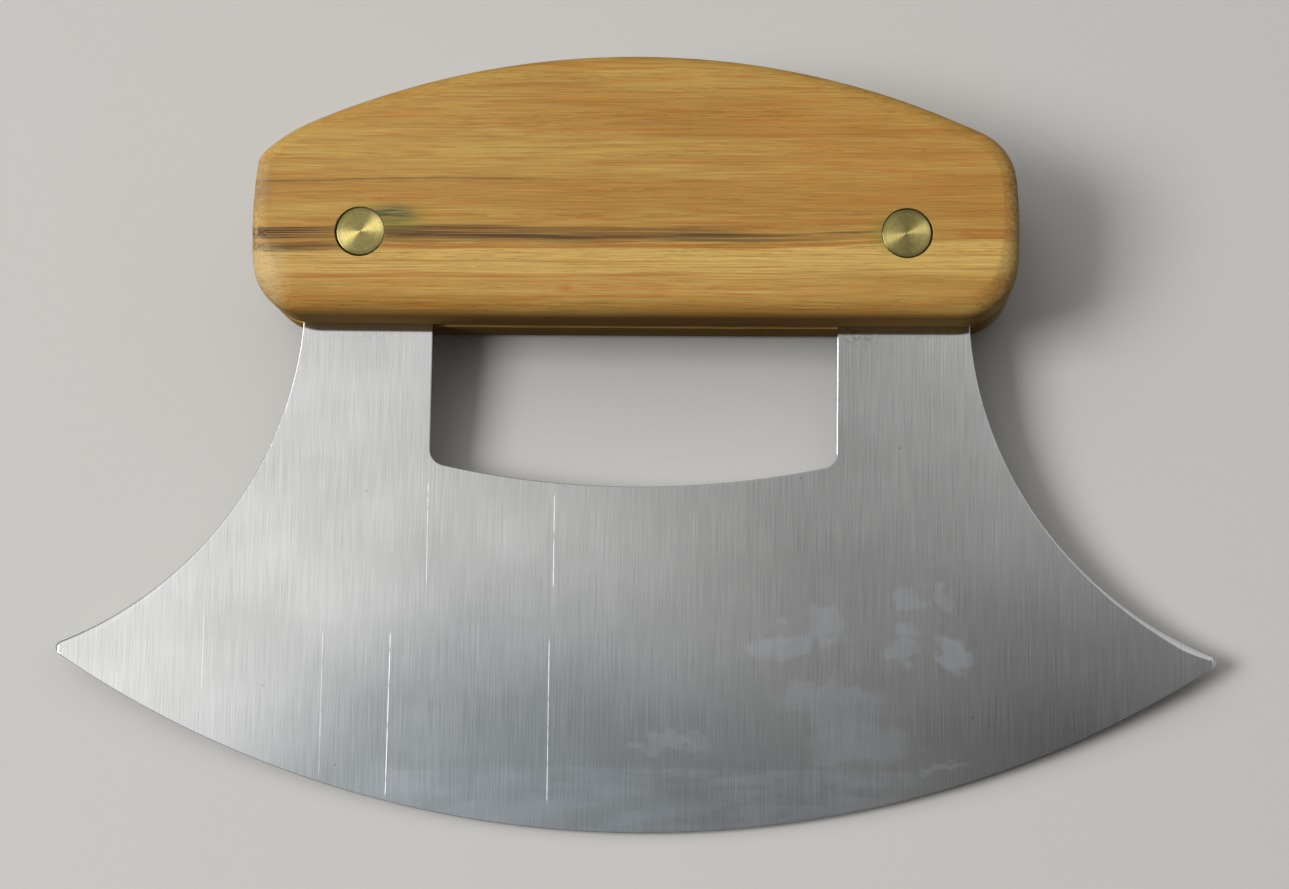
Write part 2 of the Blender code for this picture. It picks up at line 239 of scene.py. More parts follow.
world = bpy.data.worlds.new("studio")
bpy.context.scene.world = world
world.use_nodes = True
sky = world.node_tree
direction = add(sky, "TexCoord").outputs["Generated"]
sideways = add(sky, "MapRange", add(sky, "SeparateXYZ", direction), -1.0, 1.0)
open_sky = add(sky, "ValToRGB", sideways, stops=[(place, linear(tone)) for place, tone in SKY_ACROSS])
open_sky.color_ramp.interpolation = "B_SPLINE"
overhead = add(sky, "MapRange", add(sky, "SeparateXYZ", direction).outputs["Z"], 0.0, SHADE_START)
for x, y, half_width, half_height, softness, left_over in SHADES:
    shade = where_all(sky, patch(sky, direction, x, y, half_width, half_height, softness), overhead)
    light = add(sky, "Mix", shade, grey(1.0), linear(left_over), **COLOUR)
    open_sky = add(sky, "Mix", 1.0, open_sky, light, **TINT)
background = sky.nodes["Background"]
background.inputs["Strength"].default_value = SKY_STRENGTH
sky.links.new(open_sky.outputs[2], background.inputs["Color"])

KEY_PLACE = Vector((-0.85, -0.12, 0.95))    # metres, as is its size
KEY_SIZE = 0.55
KEY_POWER = 12.0                # watts

key_lamp = bpy.data.lights.new("key", "AREA")
key_lamp.size = KEY_SIZE
key_lamp.energy = KEY_POWER
key = bpy.data.objects.new("key", key_lamp)
bpy.context.scene.collection.objects.link(key)
key.location = KEY_PLACE
key.rotation_euler = (-KEY_PLACE).to_track_quat("-Z", "Y").to_euler()
print(f"Key lamp {KEY_PLACE.length:.2f} m away")

# %% [markdown]
# The floor is a plain matt board that curves up into a low wall all round, as a photographer's
# paper sweep does, so that every view has a pale background and no horizon line. It is one
# profile spun about Z.
#
# A pale board also throws light up under the knife, more than the dark underside of the handle
# allows. The Light Path node tells what kind of ray asks: the camera and mirrors see the paint,
# while light that bounces meets a darker one.

# %% Lay the floor
FLOOR_PAINT = "#C6C4C0"
FLOOR_BOUNCE = "#3E3C38"
FLOOR_RADIUS = 1.5              # metres, as are the next two
SWEEP_RADIUS = 0.35
WALL_TOP = 0.75
SWEEP_STEPS, FLOOR_STEPS = 12, 96
FLOOR_DROP = 0.02 * MM          # the knife rests this far over the floor, so that no faces coincide


def new_object(name, mesh):
    made = bpy.data.objects.new(name, mesh)
    bpy.context.scene.collection.objects.link(made)
    return made


def mesh_of(name, shape):
    """Turns a bmesh into a mesh with its faces pointing out."""
    bmesh.ops.recalc_face_normals(shape, faces=shape.faces)
    mesh = bpy.data.meshes.new(name)
    shape.to_mesh(mesh)
    shape.free()
    return mesh


def spun(name, profile, steps):
    """A surface turned about Z from (radius, height) points."""
    shape = bmesh.new()
    points = [shape.verts.new((radius, 0, height)) for radius, height in profile]
    edges = [shape.edges.new(pair) for pair in zip(points, points[1:])]
    bmesh.ops.spin(shape, geom=points + edges, cent=(0, 0, 0), axis=(0, 0, 1),
                   angle=2 * math.pi, steps=steps, use_merge=True)
    bmesh.ops.remove_doubles(shape, verts=shape.verts, dist=1e-7)
    mesh = mesh_of(name, shape)
    mesh.shade_smooth()
    return mesh


def matt_emulsion():
    """Floor paint: all diffuse, with no pattern to compete with the knife."""
    material, tree = new_tree("matt_emulsion")
    ray = add(tree, "LightPath").outputs
    looks = where_any(tree, [ray["Is Camera Ray"], ray["Is Glossy Ray"], ray["Is Transmission Ray"]])
    paint = add(tree, "Mix", looks, linear(FLOOR_BOUNCE), linear(FLOOR_PAINT), **COLOUR)
    shader = connect(tree, Base_Color=paint)
    shader.inputs["Roughness"].default_value = 0.9
    shader.inputs["Specular IOR Level"].default_value = 0.2
    return material


sweep = [(0, 0)]
for step in range(SWEEP_STEPS + 1):
    turn = math.pi / 2 * step / SWEEP_STEPS
    sweep.append((FLOOR_RADIUS - SWEEP_RADIUS * (1 - math.sin(turn)), SWEEP_RADIUS * (1 - math.cos(turn))))
sweep.append((FLOOR_RADIUS, WALL_TOP))
floor = new_object("floor", spun("floor", sweep, FLOOR_STEPS))
floor.location.z = -FLOOR_DROP
floor.data.materials.append(matt_emulsion())
floor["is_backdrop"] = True
print(f"Floor {2 * FLOOR_RADIUS:.1f} m across")

# %% [markdown]
# ## Reading the CAD outlines
# Each flat piece is a sheet or a block with one outline. It could be drawn again from the knife's
# sizes, but the CAD pieces already hold it, and what is read from them can't drift from them. The
# outline is taken at the top of the piece's upright wall, which is its widest level.

# %% Helpers to read an outline
SAME_LEVEL = 0.005 * MM
DECIMALS = 6                    # a thousandth of a millimetre


def flat_points(node):
    """A CAD piece's points in the flat frame."""
    to_flat = KNIFE.inverted()
    return [to_flat @ vertex.co for vertex in frame["nodes"][node].data.vertices]


def wall_top(node):
    """The height at which the piece's upright wall ends and its front arris starts."""
    points = flat_points(node)
    half_width = max(point.x for point in points)
    return max(point.z for point in points if point.x > half_width - SAME_LEVEL)


def outline_at(node, level):
    """The piece's outline at one height, as points in order round it, with the inside on the left."""
    points = flat_points(node)
    beside = {}
    for edge in frame["nodes"][node].data.edges:
        ends = [points[index] for index in edge.vertices]
        places = [(round(end.x, DECIMALS), round(end.y, DECIMALS)) for end in ends]
        if all(abs(end.z - level) < SAME_LEVEL for end in ends) and places[0] != places[1]:
            beside.setdefault(places[0], set()).add(places[1])
            beside.setdefault(places[1], set()).add(places[0])
    start = min(beside)
    loop, here = [start], min(beside[start])
    while here != start:
        ahead = next(place for place in beside[here] if place != loop[-1])
        loop.append(here)
        here = ahead
    loop = [Vector(place) for place in loop]
    area = sum(a.x * b.y - b.x * a.y for a, b in zip(loop, loop[1:] + loop[:1]))
    return loop if area > 0 else loop[::-1]

# %% [markdown]
# A camera sees facets that a check of sizes doesn't, so the loop is refined by a smooth curve
# through its points. More points could be had from a finer CAD model too, but then the checks
# would carry them as well.

# %% Helpers to refine an outline
LOOP_PARTS = 3                  # new edges for each old one


def ways_along(loop):
    """The outline's direction at each of its points."""
    return [(loop[(i + 1) % len(loop)] - loop[i - 1]).normalized() for i in range(len(loop))]


def refined(loop, parts):
    """The loop with each edge split into parts along a smooth curve through its points."""
    ways = ways_along(loop)
    points = []
    for i, start in enumerate(loop):
        j = (i + 1) % len(loop)
        reach = (loop[j] - start).length
        for part in range(parts):
            t = part / parts
            arrived = 3 * t ** 2 - 2 * t ** 3
            leaving, arriving = t ** 3 - 2 * t ** 2 + t, t ** 3 - t ** 2
            points.append(start.lerp(loop[j], arrived) + (ways[i] * leaving + ways[j] * arriving) * reach)
    return points


def eased(values, reach):
    """Values round a loop, each averaged with its neighbours."""
    count, near = len(values), range(-reach, reach + 1)
    return [sum(values[(i + step) % count] for step in near) / len(near) for i in range(count)]

# %% [markdown]
# A piece is a stack of such loops, drawn in towards both faces to round its edges, and joined into
# one closed solid. What a saw, a drill or a grinder takes off is cut from it with a boolean. The
# last helper puts the piece in its CAD node's place.

# %% Helpers to build and dress a piece
HOLD = 0.04 * MM                # a thin level strip that keeps a flat face's shading flat
CRISP = math.radians(32)        # edges that turn more than this stay crisp


def rounded_solid(name, loop, face, widths, depths, start, steps):
    """A slab between two faces, with edges as wide and as deep as is given for each point.

    The rounding starts at an angle to the face, where 0 is flush with it.
    """
    inward = [Vector((-way.y, way.x)) for way in ways_along(loop)]
    turn_step = (math.pi / 2 - start) / steps
    rings = []
    for past, turn in [(HOLD, start)] + [(0.0, start + turn_step * step) for step in range(steps + 1)]:
        ring = []
        for point, way, width, depth in zip(loop, inward, widths, depths):
            inset = point + way * (width * (1 - math.sin(turn)) / (1 - math.sin(start)) + past)
            ring.append((inset.x, inset.y, face - depth * (math.cos(start) - math.cos(turn))))
        rings.append(ring)
    rings += [[(x, y, -z) for x, y, z in ring] for ring in reversed(rings)]

    shape = bmesh.new()
    rows = [[shape.verts.new(point) for point in ring] for ring in rings]
    for upper, lower in zip(rows, rows[1:]):
        for i in range(len(upper)):
            j = (i + 1) % len(upper)
            shape.faces.new((upper[i], lower[i], lower[j], upper[j]))
    shape.faces.new(rows[0])
    shape.faces.new(rows[-1][::-1])
    return new_object(name, mesh_of(name, shape))


def cut_away(piece, cutters):
    """Takes the cutters' shapes out of a piece for good, and deletes them."""
    for cutter in cutters:
        step = piece.modifiers.new(cutter.name, "BOOLEAN")
        step.operation = "DIFFERENCE"
        step.object = cutter
    bpy.context.view_layer.update()
    cut = bpy.data.meshes.new_from_object(piece.evaluated_get(bpy.context.evaluated_depsgraph_get()))
    piece.modifiers.clear()
    piece.data = cut
    for cutter in cutters:
        bpy.data.objects.remove(cutter)


def dress(piece, node, material):
    """Puts a dressed piece in the place of its CAD node, in its material."""
    piece.data.materials.clear()
    piece.data.materials.append(material)
    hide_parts(node)
    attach(piece, "root")
    print(f"{piece.name}: {len(piece.data.polygons)} faces")

# %% [markdown]
# ## Patterns that the materials share
# Wood grain and brush marks are both noise pulled out along one axis. Each pattern's scale is a
# real size in millimetres. All of them are read in the knife's flat frame, so that the marks stay
# with the piece however it lies.
#
# A Map Range node turns noise into a mask: at its first number the mask is 0, at its second one it
# is 1. Raising both leaves fewer and smaller patches, and two further numbers replace 0 and 1.

# %% Helpers for patterns
NOISE_RANGE = (0.30, 0.70)      # what noise mostly keeps within
NOISE_ENDS = (0.25, 0.75)       # what it hardly ever leaves


def flat_coordinates(tree):
    """Places on the piece in the knife's flat frame, in millimetres."""
    place = add(tree, "TexCoord").outputs["Object"]
    flat = add(tree, "Mapping", place, KNIFE.translation, (TILT, 0, 0), vector_type="TEXTURE")
    return add(tree, "VectorMath", flat, Scale=1 / MM, operation="SCALE")


def grains(tree, place, size, detail=2.0, roughness=0.5, shift=0.0):
    """Noise with grains of this size in mm along X, Y and Z."""
    spread = add(tree, "Mapping", place, (shift, shift, shift), Scale=[1 / length for length in size])
    return add(tree, "TexNoise", spread, Scale=1.0, Detail=detail, Roughness=roughness)


def band(tree, value, centre, half_width, softness):
    """1 within half_width of the centre, fading out over the softness."""
    offset = add(tree, "Math", value, centre, operation="SUBTRACT")
    away = add(tree, "Math", offset, operation="ABSOLUTE")
    return add(tree, "MapRange", away, half_width + softness, half_width, **SOFT)

# %% [markdown]
# ## Brushed stainless sheet
# The blade is cut from stainless sheet whose faces were drawn through a fine belt, from the handle
# to the edge. That leaves fine parallel lines, and a highlight that spreads across them.
#
# An image could carry the lines. Noise pulled out along Y gives endless ones instead. Broader
# drags and soft clouds are laid over them, because one layer alone looks too even.

# %% Draw the brush lines
STEEL = "#CDCDCC"                       # stainless, about 60% reflective
BRUSH_SIZE = (0.14, 8.0, 5.0)           # mm; the real lines, about 0.1 mm apart, are too fine to show
DRAG_SIZE = (0.35, 25.0, 9.0)
CLOUD_SIZE = (15.0, 13.0, 9.0)


def brushed_tone(tree, place, lines):
    """The sheet's colour, a little lighter and darker along its lines."""
    drags = grains(tree, place, DRAG_SIZE, detail=2.0, shift=3.0)
    clouds = grains(tree, place, CLOUD_SIZE, detail=3.0, shift=7.0)
    shade = where_all(tree, add(tree, "MapRange", lines, *NOISE_ENDS, 0.85, 1.12),
                      add(tree, "MapRange", drags, *NOISE_ENDS, 0.975, 1.02),
                      add(tree, "MapRange", clouds, *NOISE_RANGE, 0.92, 1.07))
    return add(tree, "Mix", 1.0, linear(STEEL), shade, **TINT)


print(f"Brush lines {BRUSH_SIZE[0]} mm apart")

# %% [markdown]
# Drops have dried on the blade and left marks, and honing and washing leave a haze low on it. Both
# are a thin film, which whitens the steel and dulls its shine. A mark is an ellipse whose rim is
# pushed about by noise, so that no two look alike.

# %% Lay the dried film
WATER_MARK = "#BFCAD8"
WATER_MARKS = (                         # x, y, half width, half height, strength
    (19.8, -42.3, 4.6, 2.6, 1.0), (26.0, -40.0, 3.6, 3.2, 0.7), (35.9, -35.8, 3.0, 2.0, 0.7),
    (41.1, -36.2, 2.2, 1.5, 0.6), (36.0, -42.6, 2.6, 3.2, 0.7), (42.4, -43.3, 3.4, 3.4, 1.0),
    (26.0, -49.5, 9.0, 3.2, 0.6), (30.0, -54.5, 8.0, 4.6, 0.6), (5.5, -55.5, 6.5, 1.0, 0.5),
    (-18.0, -45.0, 9.0, 6.0, 0.35), (40.5, -57.6, 4.0, 1.0, 0.6), (-27.0, -54.0, 7.0, 5.0, 0.3),
)
MARK_SOFTNESS = 0.45                    # share of the mark that its rim takes
RIM_SIZE = (3.4, 2.6, 4.0)              # mm, the wobbles in the rim
RIM_WOBBLE = 8.0                        # mm
HAZE_SIZE = (9.0, 2.4, 4.0)
HAZE_TOP = -58.6                        # mm; the strip below this is hazy
HAZE_MIDDLE, HAZE_REACH = 2.0, 32.0     # mm along the edge
HAZE = 0.65                             # its strength


def dried_film(tree, place, x, y):
    """Where water marks and haze lie, from 0 to 1."""
    smears = grains(tree, place, RIM_SIZE, detail=3.0)
    wobble = add(tree, "VectorMath", smears.outputs["Color"], (0.5, 0.5, 0.5), operation="SUBTRACT")
    wobbly = add(tree, "VectorMath", wobble, (RIM_WOBBLE,) * 3, place, operation="MULTIPLY_ADD")
    marks = [where_all(tree, patch(tree, wobbly, *mark[:4], MARK_SOFTNESS), mark[4]) for mark in WATER_MARKS]
    wet = where_all(tree, where_any(tree, marks), add(tree, "MapRange", smears, *NOISE_RANGE, 0.6, 1.0))
    haze = grains(tree, place, HAZE_SIZE, detail=5.0, roughness=0.65)
    haze = where_all(tree, add(tree, "MapRange", haze, *NOISE_RANGE, **SOFT), HAZE,
                     add(tree, "MapRange", y, HAZE_TOP + 0.5, HAZE_TOP - 0.3, **SOFT),
                     band(tree, x, HAZE_MIDDLE, HAZE_REACH, 8.0))
    return where_any(tree, [wet, haze])


print(len(WATER_MARKS), "water marks")

# %% [markdown]
# Small dark specks lie over the whole sheet. Where the sheet enters the wood it is darker: there is a
# smudge of grime, and painted shade along the handle's edge. A Voronoi texture divides the sheet into
# cells, and only a few of them get a dot.

# %% Add specks, grime and painted shade
# also the colour of the grime, and of the painted shade along the handle's edge
SPECK_GRIME_AND_SHADE = "#6E6A62"
SPECK_SPACING = 3.2                     # mm between cells
SPECK_SHARE = (0.90, 0.97)              # only the cells whose random value is over this get a speck
SPECK_RADIUS = (0.09, 0.04)             # where it ends and where it is full, in cells
SPECK_COVER, GRIME_AND_SHADE_COVER = 0.35, 0.6    # how far they hide the steel
# The first spot is a smudge of grime; the two long faint ones along the handle's edge are painted shade.
GRIME_AND_SHADE_SPOTS = (                               # x, y, half width, half height, strength
    (29.5, -1.2, 5.0, 1.9, 0.8), (-36.0, -1.4, 10.0, 1.6, 0.3), (38.0, -1.0, 9.0, 1.4, 0.3),
)
GRIME_AND_SHADE_SOFTNESS = 0.9                    # share of the patch that its rim takes
CRUMB_SIZE = (0.7, 0.5, 0.7)


def speckled_grimed_and_shaded(tree, place, tone):
    cells = add(tree, "TexVoronoi", place, Scale=1 / SPECK_SPACING)
    few = add(tree, "MapRange", add(tree, "SeparateColor", cells.outputs["Color"]), *SPECK_SHARE, **SOFT)
    dot = add(tree, "MapRange", cells, *SPECK_RADIUS, **SOFT)
    tone = add(tree, "Mix", where_all(tree, few, dot, SPECK_COVER), tone, linear(SPECK_GRIME_AND_SHADE), **COLOUR)
    crumbs = grains(tree, place, CRUMB_SIZE, detail=4.0, roughness=0.65, shift=15.0)
    # grime, and painted shade along the handle's edge
    spots = [where_all(tree, patch(tree, place, *spot[:4], GRIME_AND_SHADE_SOFTNESS), spot[4]) for spot in GRIME_AND_SHADE_SPOTS]
    grime_and_shade = where_all(tree, where_any(tree, spots), add(tree, "MapRange", crumbs, 0.42, 0.68, **SOFT),
                      GRIME_AND_SHADE_COVER)
    return add(tree, "Mix", grime_and_shade, tone, linear(SPECK_GRIME_AND_SHADE), **COLOUR)


print(f"A speck at most every {SPECK_SPACING} mm")

# %% [markdown]
# A used blade has hairline scratches that run with the brushing and catch the light. Each is one
# thin mask with its own place, length and lean, broken here and there where it skips.

# %% Draw the scratches
SCRATCHES = (                           # x, top, bottom, drift to the right going up, strength
    (-27.0, -20.6, -35.6, -0.10, 0.55), (-10.2, -21.8, -35.6, -0.06, 0.75),
    (-10.5, -41.4, -63.6, -0.11, 0.7), (-31.6, -40.6, -63.2, 0.12, 0.75),
    (-40.5, -40.6, -60.5, -0.04, 0.4), (-56.4, -38.0, -50.5, 0.03, 0.3),
)
SCRATCH_WIDTH = 0.08                    # mm; drawn a little wide so that it shows
SCRATCH_CORE, SCRATCH_SIDE = 0.3, 0.5   # shares of it: half of the full core, and the soft side
SCRATCH_END = 1.3                       # mm over which a scratch fades at each end
SKIP_SIZE = (9.0, 1.8, 9.0)


def scratch(tree, x, y, place):
    middle, top, bottom, drift, strength = place
    lean = drift / (top - bottom)
    leaning = add(tree, "Math", y, -lean, x, operation="MULTIPLY_ADD")
    line = band(tree, leaning, middle - lean * (top + bottom) / 2,
                SCRATCH_WIDTH * SCRATCH_CORE, SCRATCH_WIDTH * SCRATCH_SIDE)
    over_bottom = add(tree, "MapRange", y, bottom, bottom + SCRATCH_END, **SOFT)
    under_top = add(tree, "MapRange", y, top, top - SCRATCH_END, **SOFT)
    return where_all(tree, line, over_bottom, under_top, strength)


def all_scratches(tree, place, x, y):
    skips = add(tree, "MapRange", grains(tree, place, SKIP_SIZE, detail=3.0), 0.30, 0.50, 0.40, 1.0)
    return where_all(tree, where_any(tree, [scratch(tree, x, y, line) for line in SCRATCHES]), skips)


print(len(SCRATCHES), "scratches")

# %% [markdown]
# The shader brings these together. Bare steel is all metal and smooth. The film makes it a little
# less metallic and rougher, and a scratch is rougher still, with a painted highlight: a pale colour
# all along it. The spread highlight has to know which way the lines run, and reads it from a UV map
# that the blade gets below.

# %% Make the steel
POLISH = (0.06, 0.115)                  # roughness, from the floor of a brush line to its top
FILM_COVER = 0.40                       # how far the film hides the steel's own colour
FILM_METAL = 0.90
FILM_ROUGHNESS = 0.06
SCRATCH_ROUGHNESS = 0.40
SCRATCH_PAINTED_GLINT = grey(0.95)                      # painted highlight: the pale colour all along every scratch
BRUSH_DEPTH = 0.0008 * MM


def brushed_stainless():
    material, tree = new_tree("brushed_stainless")
    place = flat_coordinates(tree)
    split = add(tree, "SeparateXYZ", place)
    x, y = split.outputs["X"], split.outputs["Y"]
    lines = grains(tree, place, BRUSH_SIZE, detail=3.0, roughness=0.6)
    film = dried_film(tree, place, x, y)
    scratched = all_scratches(tree, place, x, y)

    tone = brushed_tone(tree, place, lines)
    tone = add(tree, "Mix", where_all(tree, film, FILM_COVER), tone, linear(WATER_MARK), **COLOUR)
    tone = speckled_grimed_and_shaded(tree, place, tone)
    # painted highlight along the scratches
    tone = add(tree, "Mix", scratched, tone, SCRATCH_PAINTED_GLINT, **COLOUR)

    rough = add(tree, "MapRange", lines, 0.0, 1.0, *POLISH)
    rough = add(tree, "Math", film, FILM_ROUGHNESS, rough, operation="MULTIPLY_ADD")
    rough = add(tree, "Math", scratched, SCRATCH_ROUGHNESS, rough, operation="MULTIPLY_ADD")
    relief = add(tree, "Bump", Strength=1.0, Distance=BRUSH_DEPTH, Height=lines)
    metal = add(tree, "MapRange", film, 0.0, 1.0, 1.0, FILM_METAL)
    across_lines = add(tree, "Tangent", direction_type="UV_MAP", uv_map="brushing")
    shader = connect(tree, Base_Color=tone, Metallic=metal, Roughness=rough, Normal=relief,
                     Tangent=across_lines)
    shader.inputs["Anisotropic"].default_value = 0.5
    return material

# %% [markdown]
# ## The blade
# A sheet this thin has two faces, a narrow wall and an arris between them. First the sizes that
# the next steps need are read from the CAD blade: the circle that its cutting edge follows, how
# thick it is, and how far in the grind reaches on the rear face.

# %% Measure the blade
BELLY_DEPTH = 4 * MM                    # this far up from its lowest point the outline is the belly


def circle_through(a, b, c):
    """Centre and radius of the circle through three points."""
    ab, ac = b - a, c - a
    twice = 2 * (ab.x * ac.y - ab.y * ac.x)
    centre = a + Vector((ac.y * ab.length_squared - ab.y * ac.length_squared,
                         ab.x * ac.length_squared - ac.x * ab.length_squared)) / twice
    return centre, (a - centre).length


blade_loop = outline_at("blade", wall_top("blade"))
lowest = min(blade_loop, key=lambda point: point.y)
belly = sorted((point for point in blade_loop if point.y < lowest.y + BELLY_DEPTH), key=lambda point: point.x)
BELLY_CENTRE, BELLY_RADIUS = circle_through(belly[0], lowest, belly[-1])
BLADE_FACE = max(point.z for point in flat_points("blade"))
rear_face = [point for point in flat_points("blade") if point.z < SAME_LEVEL - BLADE_FACE]
GRIND_WIDTH = min(point.y for point in rear_face) - lowest.y
TIP_X = max(point.x for point in blade_loop)
TANG_X = max(point.x for point in blade_loop if point.y > 0)
print(f"Blade {2 * BLADE_FACE / MM:.1f} mm thick, belly radius {BELLY_RADIUS / MM:.1f} mm, "
      f"grind {GRIND_WIDTH / MM:.1f} mm wide")

# %% [markdown]
# A maker softens the arris on a buffing wheel, which takes more off near the slim tips than in the
# window. On the belly the front face runs right to the cutting edge. A bevel modifier would round
# every arris alike, while loops of points give each place its own width.

# %% Buff the arrises
ARRIS_AT_TANGS = (0.12 * MM, 0.09 * MM)     # width on the face, and depth down the wall
ARRIS_AT_TIPS = (1.35 * MM, 0.45 * MM)
ARRIS_AT_EDGE = (0.07 * MM, 0.05 * MM)
ARRIS_GROWTH = 2.5                      # over 1, it widens late on the way from tang to tip
TIP_ROUND = 1.5 * MM                    # length of the tip's own small round
TIP_ARRIS = 0.6 * MM                    # the widest that this round can take
ARRIS_STEPS = 6
ARRIS_EASE = 4                          # points each way over which the width evens out
ON_BELLY = 0.02 * MM                    # a point this near the belly's circle is on it


def arris_at(point):
    """How far the buffed arris reaches in from this point of the outline, and how deep."""
    if abs((point - BELLY_CENTRE).length - BELLY_RADIUS) < ON_BELLY:
        return ARRIS_AT_EDGE
    towards_tip = min(1, max(0, (abs(point.x) - TANG_X) / (TIP_X - TANG_X))) ** ARRIS_GROWTH
    width, depth = [a + (b - a) * towards_tip for a, b in zip(ARRIS_AT_TANGS, ARRIS_AT_TIPS)]
    return (min(width, TIP_ARRIS), depth) if abs(point.x) > TIP_X - TIP_ROUND else (width, depth)


loop = refined(blade_loop, LOOP_PARTS)
widths, depths = [eased(values, ARRIS_EASE) for values in zip(*[arris_at(point) for point in loop])]
blade = rounded_solid("blade_dressed", loop, BLADE_FACE, widths, depths, 0.0, ARRIS_STEPS)
print(f"Blade outline of {len(loop)} points, arrises up to {max(widths) / MM:.2f} mm wide")

# %% [markdown]
# An ulu like this is ground on one side only, here the rear, so a single bevel runs along the
# belly. It is cut from the solid by a wedge swept along the belly's own arc.

# %% Grind the edge
EDGE_LAND = 0.12 * MM                   # thickness left at the very edge
GRIND_SWEEP = math.radians(37)          # each way from the middle, past the tips
GRIND_STEPS = 301
GRIND_SLOPE = (2 * BLADE_FACE - ARRIS_AT_EDGE[1] - EDGE_LAND) / GRIND_WIDTH
PAST = 5 * MM                           # the wedge goes this far past the steel


def grind_wedge():
    """What the single bevel takes off the rear face."""
    low, high = -BLADE_FACE - GRIND_SLOPE * PAST, GRIND_SLOPE * (GRIND_WIDTH + PAST) - BLADE_FACE
    inner, outer = BELLY_RADIUS - GRIND_WIDTH - PAST, BELLY_RADIUS + PAST
    corners = ((inner, low), (outer, high), (outer, low))
    shape = bmesh.new()
    face = shape.faces.new([shape.verts.new((0, -radius, height)) for radius, height in corners])
    bmesh.ops.rotate(shape, verts=shape.verts, cent=(0, 0, 0), matrix=Matrix.Rotation(-GRIND_SWEEP, 3, "Z"))
    bmesh.ops.spin(shape, geom=[face], cent=(0, 0, 0), axis=(0, 0, 1),
                   angle=2 * GRIND_SWEEP, steps=GRIND_STEPS)
    bmesh.ops.translate(shape, verts=shape.verts, vec=(BELLY_CENTRE.x, BELLY_CENTRE.y, 0))
    return new_object("grind", mesh_of("grind", shape))


cut_away(blade, [grind_wedge()])
print(f"Bevel of {math.degrees(math.atan(GRIND_SLOPE)):.0f} degrees")

# %% [markdown]
# Two things are left. Smooth shading would blur the bevel's heel, which is too blunt for the angle
# rule, so its edges are marked by place. The spread highlight needs a UV map with U across the
# brush lines. It leans a little with height, so that the walls have one too.

# %% Finish the blade
HEEL_TOLERANCE = 0.01 * MM
UV_SCALE = 10                           # per metre
UV_LEAN = (0.3, 0.6)                    # how much of the height goes into U and V


def keep_heel_crisp(mesh):
    sharp = mesh.attributes.get("sharp_edge") or mesh.attributes.new("sharp_edge", "BOOLEAN", "EDGE")
    for edge in mesh.edges:
        ends = [mesh.vertices[index].co for index in edge.vertices]
        off_heel = max(abs((end.xy - BELLY_CENTRE).length - BELLY_RADIUS + GRIND_WIDTH) for end in ends)
        if off_heel < HEEL_TOLERANCE and max(end.z for end in ends) < SAME_LEVEL - BLADE_FACE:
            sharp.data[edge.index].value = True


def map_brushing(mesh):
    layer = mesh.uv_layers.new(name="brushing")
    for corner, loop in zip(layer.data, mesh.loops):
        point = mesh.vertices[loop.vertex_index].co
        corner.uv = [UV_SCALE * (along + lean * point.z) for along, lean in zip(point.xy, UV_LEAN)]


blade.data.shade_smooth()
blade.data.set_sharp_from_angle(angle=CRISP)
keep_heel_crisp(blade.data)
map_brushing(blade.data)
blade.data.transform(KNIFE)
dress(blade, "blade", brushed_stainless())

# %% [markdown]
# ## Oiled hardwood
# The handle is one block of a ring-porous hardwood, sawn so that its growth rings run along the
# face as nearly straight lines. The wood is made as a solid: rings about a far-off pith, wandering
# a little, with fibres along X. Whatever surface cuts it then shows the right thing, lines on the
# faces and pores on the ends.
#
# The first step measures how far each point is from the pith, because that is the same all along
# one ring. Later steps use it to place whatever follows the grain.

# %% Grow the rings
PITH_Y, PITH_Z = -150.0, -40.0          # mm, far outside the handle
WANDER_SIZE = (46.0, 14.0, 14.0)
WANDER = 1.9                            # mm
GRAIN_SLOPE = 0.014                     # mm that the grain climbs for each mm to the right
FRAY_SIZE = (16.0, 0.6, 0.6)
FRAY = 0.5                              # mm
HANDLE_FACE = max(point.z for point in flat_points("handle"))
HANDLE_HEIGHT = max(point.y for point in flat_points("handle")) / MM


def ring_at(height):
    """Distance from the pith, in mm, of a line on the front face at this height over the bottom."""
    return math.hypot(height - PITH_Y, HANDLE_FACE / MM - PITH_Z)


def ring_distance(tree, place, x):
    """Distance from the pith in mm, put off its circle by what a tree's growth does to a ring."""
    ring = add(tree, "VectorMath", place, (0, PITH_Y, PITH_Z), operation="SUBTRACT")
    ring = add(tree, "VectorMath", ring, (0, 1, 1), operation="MULTIPLY")
    ring = add(tree, "VectorMath", ring, operation="LENGTH")
    wander = add(tree, "Math", grains(tree, place, WANDER_SIZE, detail=1.0), 0.5, operation="SUBTRACT")
    ring = add(tree, "Math", wander, WANDER, ring, operation="MULTIPLY_ADD")
    ring = add(tree, "Math", x, -GRAIN_SLOPE, ring, operation="MULTIPLY_ADD")
    fray = add(tree, "Math", grains(tree, place, FRAY_SIZE, detail=2.0, shift=9.0), 0.5, operation="SUBTRACT")
    return add(tree, "Math", fray, FRAY, ring, operation="MULTIPLY_ADD")


print(f"Rings on the face lie {ring_at(0):.0f} to {ring_at(HANDLE_HEIGHT):.0f} mm from the pith")

# %% [markdown]
# The ground colour comes next. Early wood is golden, with broad tan zones, warmer flecks along the
# fibres and one pale strip low on the face.

# %% Colour the ground
GOLDEN = "#BA964C"
TAN = "#AF843E"
AMBER = "#B27229"
PALE = "#D1AE61"
ZONE_SIZE = (60.0, 6.0, 9.0)
FLECK_SIZE = (12.0, 0.55, 1.2)
PALE_STRIP = (6.8, 1.5, 1.0)            # height on the face, half width and softness, in mm


